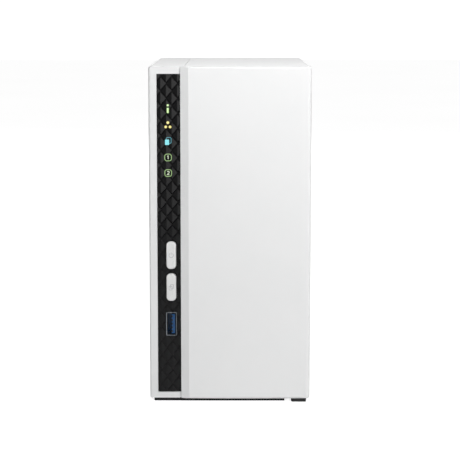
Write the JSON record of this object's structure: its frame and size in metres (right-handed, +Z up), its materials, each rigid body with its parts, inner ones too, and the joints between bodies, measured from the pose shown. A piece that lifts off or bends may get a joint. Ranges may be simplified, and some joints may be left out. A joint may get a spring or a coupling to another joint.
{
  "type": "network attached storage",
  "caption": "Upright two-bay desktop storage server: white case with a faceted dark display strip, push buttons, upright drives in a steel cage and a rear fan.",
  "frame": {"origin": "on the standing surface, under the middle of the case", "axes": "+Z up, -Y towards the front face, +X to the right of the front face"},
  "size_m": [0.0902, 0.1562, 0.1886],
  "materials": {
    "white_abs": "fine moulded texture",
    "white_button": "smooth",
    "dark_trim": "glossy, faceted",
    "foot_rubber": "matt",
    "clear_acrylic": "clear",
    "lamp_epoxy": "diffuse",
    "zinc_sheet": "zinc plated",
    "zinc_screw": "zinc plated",
    "black_screw": "black oxide",
    "tinned_shell": "nickel plated",
    "blue_nylon": "moulded",
    "black_nylon": "moulded",
    "white_nylon": "moulded",
    "green_pcb": "solder mask",
    "blue_pcb": "solder mask",
    "chip_epoxy": "moulded",
    "anodised_sink": "anodised",
    "ferrite": "moulded",
    "can_aluminium": "satin",
    "cell_steel": "bright",
    "tinned_pin": "plated",
    "copper_coil": "enamelled copper",
    "ring_magnet": "matt",
    "ground_steel": "ground",
    "cast_case": "cast",
    "lid_steel": "brushed",
    "disk_mirror": "polished",
    "arm_aluminium": "machined",
    "lead_pvc": "sleeved"
  },
  "bodies": {
    "chassis": {"main_housing": "white_abs", "rear_panel": "white_abs", "front_trim": "dark_trim", "light_pipe": "clear_acrylic", "housing_feet": "foot_rubber", "panel_screws": "zinc_screw", "cover_screws": "zinc_screw", "lock_plate": "zinc_sheet", "reset_switch": "black_nylon", "front_usb_shell": "tinned_shell", "front_usb_insert": "blue_nylon", "rear_usb_shells": "tinned_shell", "rear_usb_inserts": "blue_nylon", "lan_port": "tinned_shell", "power_jack": "black_nylon", "power_jack_pin": "tinned_pin", "mainboard": "green_pcb", "mainboard_screws": "zinc_screw", "heatsink": "anodised_sink", "memory_chips": "chip_epoxy", "board_chips": "chip_epoxy", "inductors": "ferrite", "capacitors": "can_aluminium", "coin_cell": "cell_steel", "coin_cell_holder": "black_nylon", "status_leds": "lamp_epoxy", "board_link": "black_nylon", "carrier_board": "green_pcb", "sata_sockets": "black_nylon", "drive_cage": "zinc_sheet", "cage_screws": "zinc_screw", "drive_screws": "zinc_screw", "fan_frame": "black_nylon", "fan_stator": "copper_coil", "fan_screws": "black_screw", "fan_plug": "white_nylon", "fan_lead": "lead_pvc", "power_switch": "black_nylon", "copy_switch": "black_nylon", "drive_1_case": "cast_case", "drive_1_lid": "lid_steel", "drive_1_board": "blue_pcb", "drive_1_connector": "black_nylon", "drive_2_case": "cast_case", "drive_2_lid": "lid_steel", "drive_2_board": "blue_pcb", "drive_2_connector": "black_nylon"},
    "cover": {"side_cover": "white_abs", "cover_feet": "foot_rubber"},
    "power_key": {"power_button": "white_button"},
    "copy_key": {"copy_button": "white_button"},
    "reset_key": {"reset_button": "black_nylon"},
    "fan_wheel": {"fan_rotor": "black_nylon", "fan_magnet": "ring_magnet", "fan_shaft": "ground_steel"},
    "drive_1_disks": {"drive_1_platters": "disk_mirror"},
    "drive_1_arms": {"drive_1_heads": "arm_aluminium"},
    "drive_2_disks": {"drive_2_platters": "disk_mirror"},
    "drive_2_arms": {"drive_2_heads": "arm_aluminium"}
  },
  "joints": [
    {"name": "cover_slide", "type": "slide", "parent": "chassis", "child": "cover", "axis": [0, -1, 0], "range_m": [0, 0.16]},
    {"name": "power_press", "type": "slide", "parent": "chassis", "child": "power_key", "axis": [0, 1, 0], "range_m": [0, 0.0008], "stiffness_N_per_m": 1200, "springref_m": -0.0006},
    {"name": "copy_press", "type": "slide", "parent": "chassis", "child": "copy_key", "axis": [0, 1, 0], "range_m": [0, 0.0008], "stiffness_N_per_m": 1200, "springref_m": -0.0006},
    {"name": "reset_press", "type": "slide", "parent": "chassis", "child": "reset_key", "axis": [0, -1, 0], "range_m": [0, 0.0004], "stiffness_N_per_m": 1200, "springref_m": -0.0004},
    {"name": "fan_spin", "type": "hinge", "parent": "chassis", "child": "fan_wheel", "pos_m": [0.0115, 0.0632, 0.12], "axis": [0, 1, 0], "continuous": true},
    {"name": "drive_1_spin", "type": "hinge", "parent": "chassis", "child": "drive_1_disks", "pos_m": [-0.00235, -0.0167, 0.115], "axis": [1, 0, 0], "continuous": true},
    {"name": "drive_1_seek", "type": "hinge", "parent": "chassis", "child": "drive_1_arms", "pos_m": [-0.00235, 0.008, 0.052], "axis": [1, 0, 0], "range_deg": [0, 34]},
    {"name": "drive_2_spin", "type": "hinge", "parent": "chassis", "child": "drive_2_disks", "pos_m": [0.02615, -0.0167, 0.115], "axis": [1, 0, 0], "continuous": true},
    {"name": "drive_2_seek", "type": "hinge", "parent": "chassis", "child": "drive_2_arms", "pos_m": [0.02615, 0.008, 0.052], "axis": [1, 0, 0], "range_deg": [0, 34]}
  ]
}
